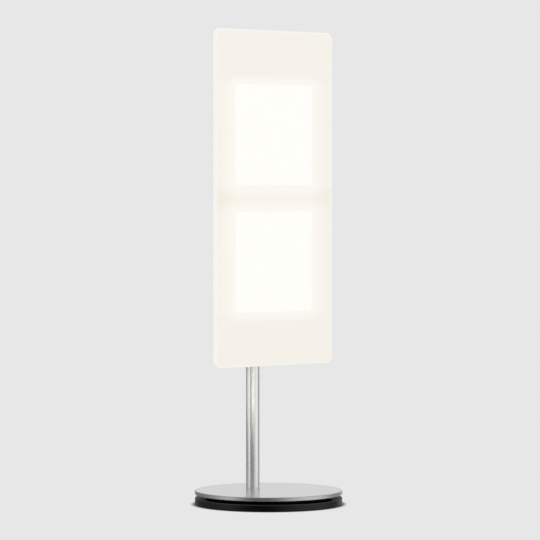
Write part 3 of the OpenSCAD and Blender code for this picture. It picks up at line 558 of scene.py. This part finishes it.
class LAMP_OT_stage(bpy.types.Operator):
    """Set the floor, the backdrop, the light and the camera"""

    bl_idname = "lamp.stage"
    bl_label = "Stage"

    def execute(self, context):
        stage = context.scene.lamp_stage
        self.floor(context, stage)
        self.world(context, stage)
        self.glows(context, stage)
        self.camera(context, stage)
        context.scene.view_settings.view_transform = "Standard"
        return {"FINISHED"}

    def floor(self, context, stage):
        """A pale round floor, which the metal doesn't mirror."""
        bm = bmesh.new()
        bmesh.ops.create_circle(bm, cap_ends=True, segments=64, radius=stage.floor_radius)
        mesh = bpy.data.meshes.new("floor")
        bm.to_mesh(mesh)
        bm.free()
        mesh.materials.append(matt_paint(stage))
        floor = bpy.data.objects.new("floor", mesh)
        context.scene.collection.objects.link(floor)
        floor.visible_glossy = False

    def world(self, context, stage):
        """Even soft light all round and a plain backdrop. Reflections have a light of their own."""
        world = bpy.data.worlds.new("studio")
        context.scene.world = world
        world.use_nodes = True
        tree = world.node_tree
        even = add(tree, "ShaderNodeBackground", {"Color": WHITE, "Strength": 1.0})
        flagged = add(tree, "ShaderNodeBackground",
                      {"Color": WHITE, "Strength": self.mirrored_light(tree, stage)})
        backdrop = add(tree, "ShaderNodeBackground", {"Color": opaque(stage.ground), "Strength": 1.0})
        path = add(tree, "ShaderNodeLightPath")
        lit = add(tree, "ShaderNodeMixShader",
                  {0: path.outputs["Is Glossy Ray"], 1: even.outputs["Background"],
                   2: flagged.outputs["Background"]})
        plain = add(tree, "ShaderNodeMath",
                    {0: path.outputs["Is Camera Ray"], 1: path.outputs["Is Transmission Ray"]},
                    operation="MAXIMUM")
        seen = add(tree, "ShaderNodeMixShader",
                   {0: plain.outputs["Value"], 1: lit.outputs["Shader"], 2: backdrop.outputs["Background"]})
        feed(tree, tree.nodes["World Output"], Surface=seen.outputs["Shader"])

    def mirrored_light(self, tree, stage):
        """Level of the light in reflections: weaker from above and below, flags and cards at the sides."""
        place = add(tree, "ShaderNodeTexCoord").outputs["Generated"]
        height = add(tree, "ShaderNodeSeparateXYZ", {"Vector": place}).outputs["Z"]
        below = add(tree, "ShaderNodeMapRange",
                    {"Value": height, "From Min": LOW, "From Max": 0.0,
                     "To Min": stage.under, "To Max": stage.mirrored})
        strength = add(tree, "ShaderNodeMapRange",
                       {"Value": height, "From Min": 0.0, "From Max": HIGH,
                        "To Min": below.outputs["Result"], "To Max": stage.overhead})
        level = add(tree, "ShaderNodeVectorMath", {0: place, 1: LEVEL}, operation="MULTIPLY")
        aim = add(tree, "ShaderNodeVectorMath", {0: level.outputs["Vector"]}, operation="NORMALIZE")
        share = 1.0
        for turn, half, soft, taken in FLAGS:
            facing = add(tree, "ShaderNodeVectorMath", {0: aim.outputs["Vector"], 1: towards(stage, turn)},
                         operation="DOT_PRODUCT")
            wide, narrow = (math.cos(math.radians(half + edge)) for edge in (soft, -soft))
            left = add(tree, "ShaderNodeMapRange",
                       {"Value": facing.outputs["Value"], "From Min": wide, "From Max": narrow,
                        "To Min": 1.0, "To Max": 1.0 - taken}, interpolation_type="SMOOTHSTEP")
            product = add(tree, "ShaderNodeMath", {0: share, 1: left.outputs["Result"]},
                          operation="MULTIPLY")
            share = product.outputs["Value"]
        clear = add(tree, "ShaderNodeMapRange", {"Value": height, "From Min": CLEAR, "From Max": 1.0})
        cleared = add(tree, "ShaderNodeMix", {"Factor": clear.outputs["Result"], "A": share, "B": 1.0})
        light = add(tree, "ShaderNodeMath", {0: cleared.outputs["Result"], 1: strength.outputs["Result"]},
                    operation="MULTIPLY")
        return light.outputs["Value"]

    def glows(self, context, stage):
        """Small warm lights round the tube for the glow of the plate above. Only the tube mirrors them."""
        tube = middle_of("stem_tube")
        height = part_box("diffuser_plate")[0].z - stage.glow_drop
        lit = bpy.data.collections.new("lit by the glow")
        lit.objects.link(frame["nodes"]["stem_tube"])
        for turn, width, level in GLOWS:
            data = bpy.data.lights.new("glow", "AREA")
            data.shape = "RECTANGLE"
            data.size = width * MM
            data.size_y = stage.glow_height
            data.spread = stage.glow_spread
            data.color = stage.glow
            data.energy = level * math.pi * data.size * data.size_y
            light = bpy.data.objects.new("glow", data)
            context.scene.collection.objects.link(light)
            light.light_linking.receiver_collection = lit
            light.visible_camera = False
            light.visible_diffuse = False
            away = towards(stage, turn)
            light.location = Vector((tube.x, tube.y, height)) + stage.glow_away * away
            light.rotation_euler = (-away).to_track_quat("-Z", "Y").to_euler()
            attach(light, frame["nodes"]["stem_tube"]["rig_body"])

    def camera(self, context, stage):
        """The photograph's view."""
        data = bpy.data.cameras.new("camera")
        data.lens = stage.lens
        camera = bpy.data.objects.new("camera", data)
        context.scene.collection.objects.link(camera)
        ahead = Vector((-math.sin(stage.heading) * math.cos(stage.dip),
                        math.cos(stage.heading) * math.cos(stage.dip),
                        -math.sin(stage.dip)))
        camera.location = stage.place
        camera.rotation_euler = ahead.to_track_quat("-Z", "Y").to_euler()
        context.scene.camera = camera


class LAMP_OT_plate(bpy.types.Operator):
    """Model the diffuser plate, with round corners and polished edges"""

    bl_idname = "lamp.plate"
    bl_label = "Diffuser plate"

    def execute(self, context):
        sizes = context.scene.lamp_sizes
        colours = context.scene.lamp_colours
        corner_steps = 16
        edge_steps = 5
        # A face is a polished edge when its normal has less than this along the plate's depth
        edge_tilt = 0.3
        bm = bmesh.new()
        bmesh.ops.create_cube(bm, size=1.0)
        bmesh.ops.scale(bm, vec=size_of("diffuser_plate"), verts=bm.verts)
        # The edges that run through the plate, then those round its two faces
        corners = [e for e in bm.edges if e.verts[0].co.y * e.verts[1].co.y < 0]
        bmesh.ops.bevel(bm, geom=corners, offset=sizes.plate_corner, segments=corner_steps, profile=0.5,
                        affect="EDGES", material=-1)
        outline = [e for e in bm.edges if e.verts[0].co.y * e.verts[1].co.y > 0]
        bmesh.ops.bevel(bm, geom=outline, offset=sizes.plate_edge, segments=edge_steps, profile=0.5,
                        affect="EDGES", material=-1)
        for face in bm.faces:
            face.material_index = int(abs(face.normal.y) < edge_tilt)
        bmesh.ops.translate(bm, vec=middle_of("diffuser_plate"), verts=bm.verts)
        piece = dress(bm, "diffuser_plate_satin", "diffuser_plate", "opal_acrylic",
                      opal_acrylic(sizes, colours), polished_edge(colours))
        smooth(piece)
        return {"FINISHED"}


class LAMP_OT_housing(bpy.types.Operator):
    """Dress the rear housing, its tape, and the rubber sleeve and gland"""

    bl_idname = "lamp.housing"
    bl_label = "Rear housing"

    def execute(self, context):
        shell = moulded("ABS, moulded with a fine grain", context.scene.lamp_colours.housing, grain=0.5,
                        depth=0.04, roughness=0.5)
        piece = dress(merged_copy("rear_housing"), "rear_housing_shell", "rear_housing", "white_housing",
                      shell)
        smooth(piece)
        foam = moulded("acrylic foam tape, cut", linear("E2E0DC"), grain=0.4, depth=0.05, roughness=0.8)
        paint(foam, "bond_tape")
        rubber = moulded("rubber, moulded", linear("1C1C1D"), grain=0.6, depth=0.05, roughness=0.62)
        paint(rubber, "wire_sleeve", "cord_gland")
        return {"FINISHED"}


class LAMP_OT_tiles(bpy.types.Operator):
    """Dress the light tiles behind the plate"""

    bl_idname = "lamp.tiles"
    bl_label = "Light tiles"

    def execute(self, context):
        paint(lit_film(context.scene.lamp_colours), "tile_emitter_upper", "tile_emitter_lower")
        paint(float_glass(), "tile_glass_upper", "tile_glass_lower")
        rolled = machined("aluminium sheet, rolled", linear("C8CACC"), roughness=0.38, groove=(0.3, 6, 6))
        paint(rolled, "heat_spreader_upper", "heat_spreader_lower")
        paint(circuit_board(), "contact_strip_upper", "contact_strip_lower")
        return {"FINISHED"}


class LAMP_OT_stem(bpy.types.Operator):
    """Dress the tube, its cap and foot, the spacers that carry the head, and the lamp's screws"""

    bl_idname = "lamp.stem"
    bl_label = "Stem"

    def execute(self, context):
        colours = context.scene.lamp_colours
        # Real belt lines are about 0.1 mm apart; they are drawn coarser so that they show
        ground = machined("stainless steel, belt ground round the tube", colours.steel, roughness=0.52,
                          groove=(9, 9, 0.5), anisotropy=0.97)
        paint(ground, "stem_tube", "stem_cap")
        turned = machined("stainless steel, turned", colours.disc, roughness=0.22, groove=(6, 0.5, 6))
        paint(turned, "stem_spacer_upper", "stem_spacer_lower")
        zinc = machined("steel, zinc plated", linear("BFC0C2"), roughness=0.32, groove=(1.5, 1.5, 1.5))
        paint(zinc, "spacer_screws", "foot_screw", "pivot_screws", "board_screws")
        brass = machined("brass, turned", linear("C9A65A"), roughness=0.28, groove=(4, 4, 0.4))
        paint(brass, "foot_bush", "spacer_nuts")
        return {"FINISHED"}


class LAMP_OT_base(bpy.types.Operator):
    """Dress the two base discs and the foot pad"""

    bl_idname = "lamp.base"
    bl_label = "Base discs"

    def execute(self, context):
        colours = context.scene.lamp_colours
        paint(ground_sheet(colours), "steel_disc")
        paint(powder_coat(context.scene.lamp_sizes, colours), "base_weight")
        pad = moulded("cellular rubber, cut", linear("232323"), grain=0.9, depth=0.08, roughness=0.8)
        paint(pad, "foot_pad")
        return {"FINISHED"}


class LAMP_OT_swivel(bpy.types.Operator):
    """Dress the swivel between the discs"""

    bl_idname = "lamp.swivel"
    bl_label = "Swivel"

    def execute(self, context):
        turned = machined("steel, turned", linear("B4B5B7"), roughness=0.3, groove=(4, 4, 0.4))
        paint(turned, "pivot", "stop_pin")
        spring = machined("spring steel, oiled", linear("858688"), roughness=0.36, groove=(2, 2, 2))
        paint(spring, "retaining_ring", "wave_washer")
        black = moulded("acetal, turned black", linear("040404"), grain=0.8, depth=0.02, roughness=0.6,
                        gloss_level=0.05)
        paint(black, "slide_ring")
        natural = moulded("acetal, natural", linear("E6E4DC"), grain=0.8, depth=0.02, roughness=0.4)
        paint(natural, "pivot_bush")
        return {"FINISHED"}


class LAMP_OT_driver(bpy.types.Operator):
    """Dress the driver board, the terminals and the leads inside the lamp"""

    bl_idname = "lamp.driver"
    bl_label = "Driver and leads"

    def execute(self, context):
        paint(circuit_board(), "driver_board")
        paint(epoxy(), "driver_components")
        nylon = moulded("nylon, moulded white", linear("E8E6DE"), grain=0.6, depth=0.02, roughness=0.35)
        paint(nylon, "board_connectors", "terminal_block")
        black = moulded("PVC sheath, black", linear("262627"), grain=0.8, depth=0.02, roughness=0.45)
        paint(black, "base_lead", "stem_lead")
        white = moulded("PVC sheath, white", linear("E4E4E2"), grain=0.8, depth=0.02, roughness=0.45)
        paint(white, "tile_lead_upper", "tile_lead_lower")
        return {"FINISHED"}


class LAMP_OT_dimmer(bpy.types.Operator):
    """Dress the dimmer button and its switch"""

    bl_idname = "lamp.dimmer"
    bl_label = "Dimmer"

    def execute(self, context):
        cap = moulded("ABS, moulded satin", linear("DEDCD8"), grain=0.4, depth=0.02, roughness=0.42)
        paint(cap, "dimmer_button")
        plunger = moulded("nylon, moulded grey", linear("CFCFCB"), grain=0.5, depth=0.02, roughness=0.4)
        paint(plunger, "switch_plunger")
        paint(epoxy(), "dimmer_switch")
        return {"FINISHED"}


OPERATORS = (LAMP_OT_stage, LAMP_OT_plate, LAMP_OT_housing, LAMP_OT_tiles, LAMP_OT_stem, LAMP_OT_base,
             LAMP_OT_swivel, LAMP_OT_driver, LAMP_OT_dimmer)
GROUPS = {"lamp_sizes": LampSizes, "lamp_colours": LampColours, "lamp_stage": LampStage}


class LAMP_PT_panel(bpy.types.Panel):
    """Lists the lamp's steps and settings"""

    bl_label = "OLED table lamp"
    bl_idname = "LAMP_PT_panel"
    bl_space_type = "VIEW_3D"
    bl_region_type = "UI"
    bl_category = "Lamp"

    def draw(self, context):
        for step in OPERATORS:
            self.layout.operator(step.bl_idname)
        for group_name in GROUPS:
            group = getattr(context.scene, group_name)
            box = self.layout.box()
            for name in group.bl_rna.properties.keys():
                if name not in ("rna_type", "name"):
                    box.prop(group, name)


def register():
    """Make the steps, the panel and the settings known."""
    for made in (*GROUPS.values(), *OPERATORS, LAMP_PT_panel):
        bpy.utils.register_class(made)
    for name, group in GROUPS.items():
        setattr(bpy.types.Scene, name, PointerProperty(type=group))


def unregister():
    """Take the settings, the panel and the steps away."""
    for name in GROUPS:
        delattr(bpy.types.Scene, name)
    for made in (LAMP_PT_panel, *reversed(OPERATORS), *reversed(GROUPS.values())):
        bpy.utils.unregister_class(made)


def main():
    """Build the lamp."""
    register()
    for step in OPERATORS:
        group, name = step.bl_idname.split(".")
        getattr(getattr(bpy.ops, group), name)()


if __name__ == "__main__":
    main()
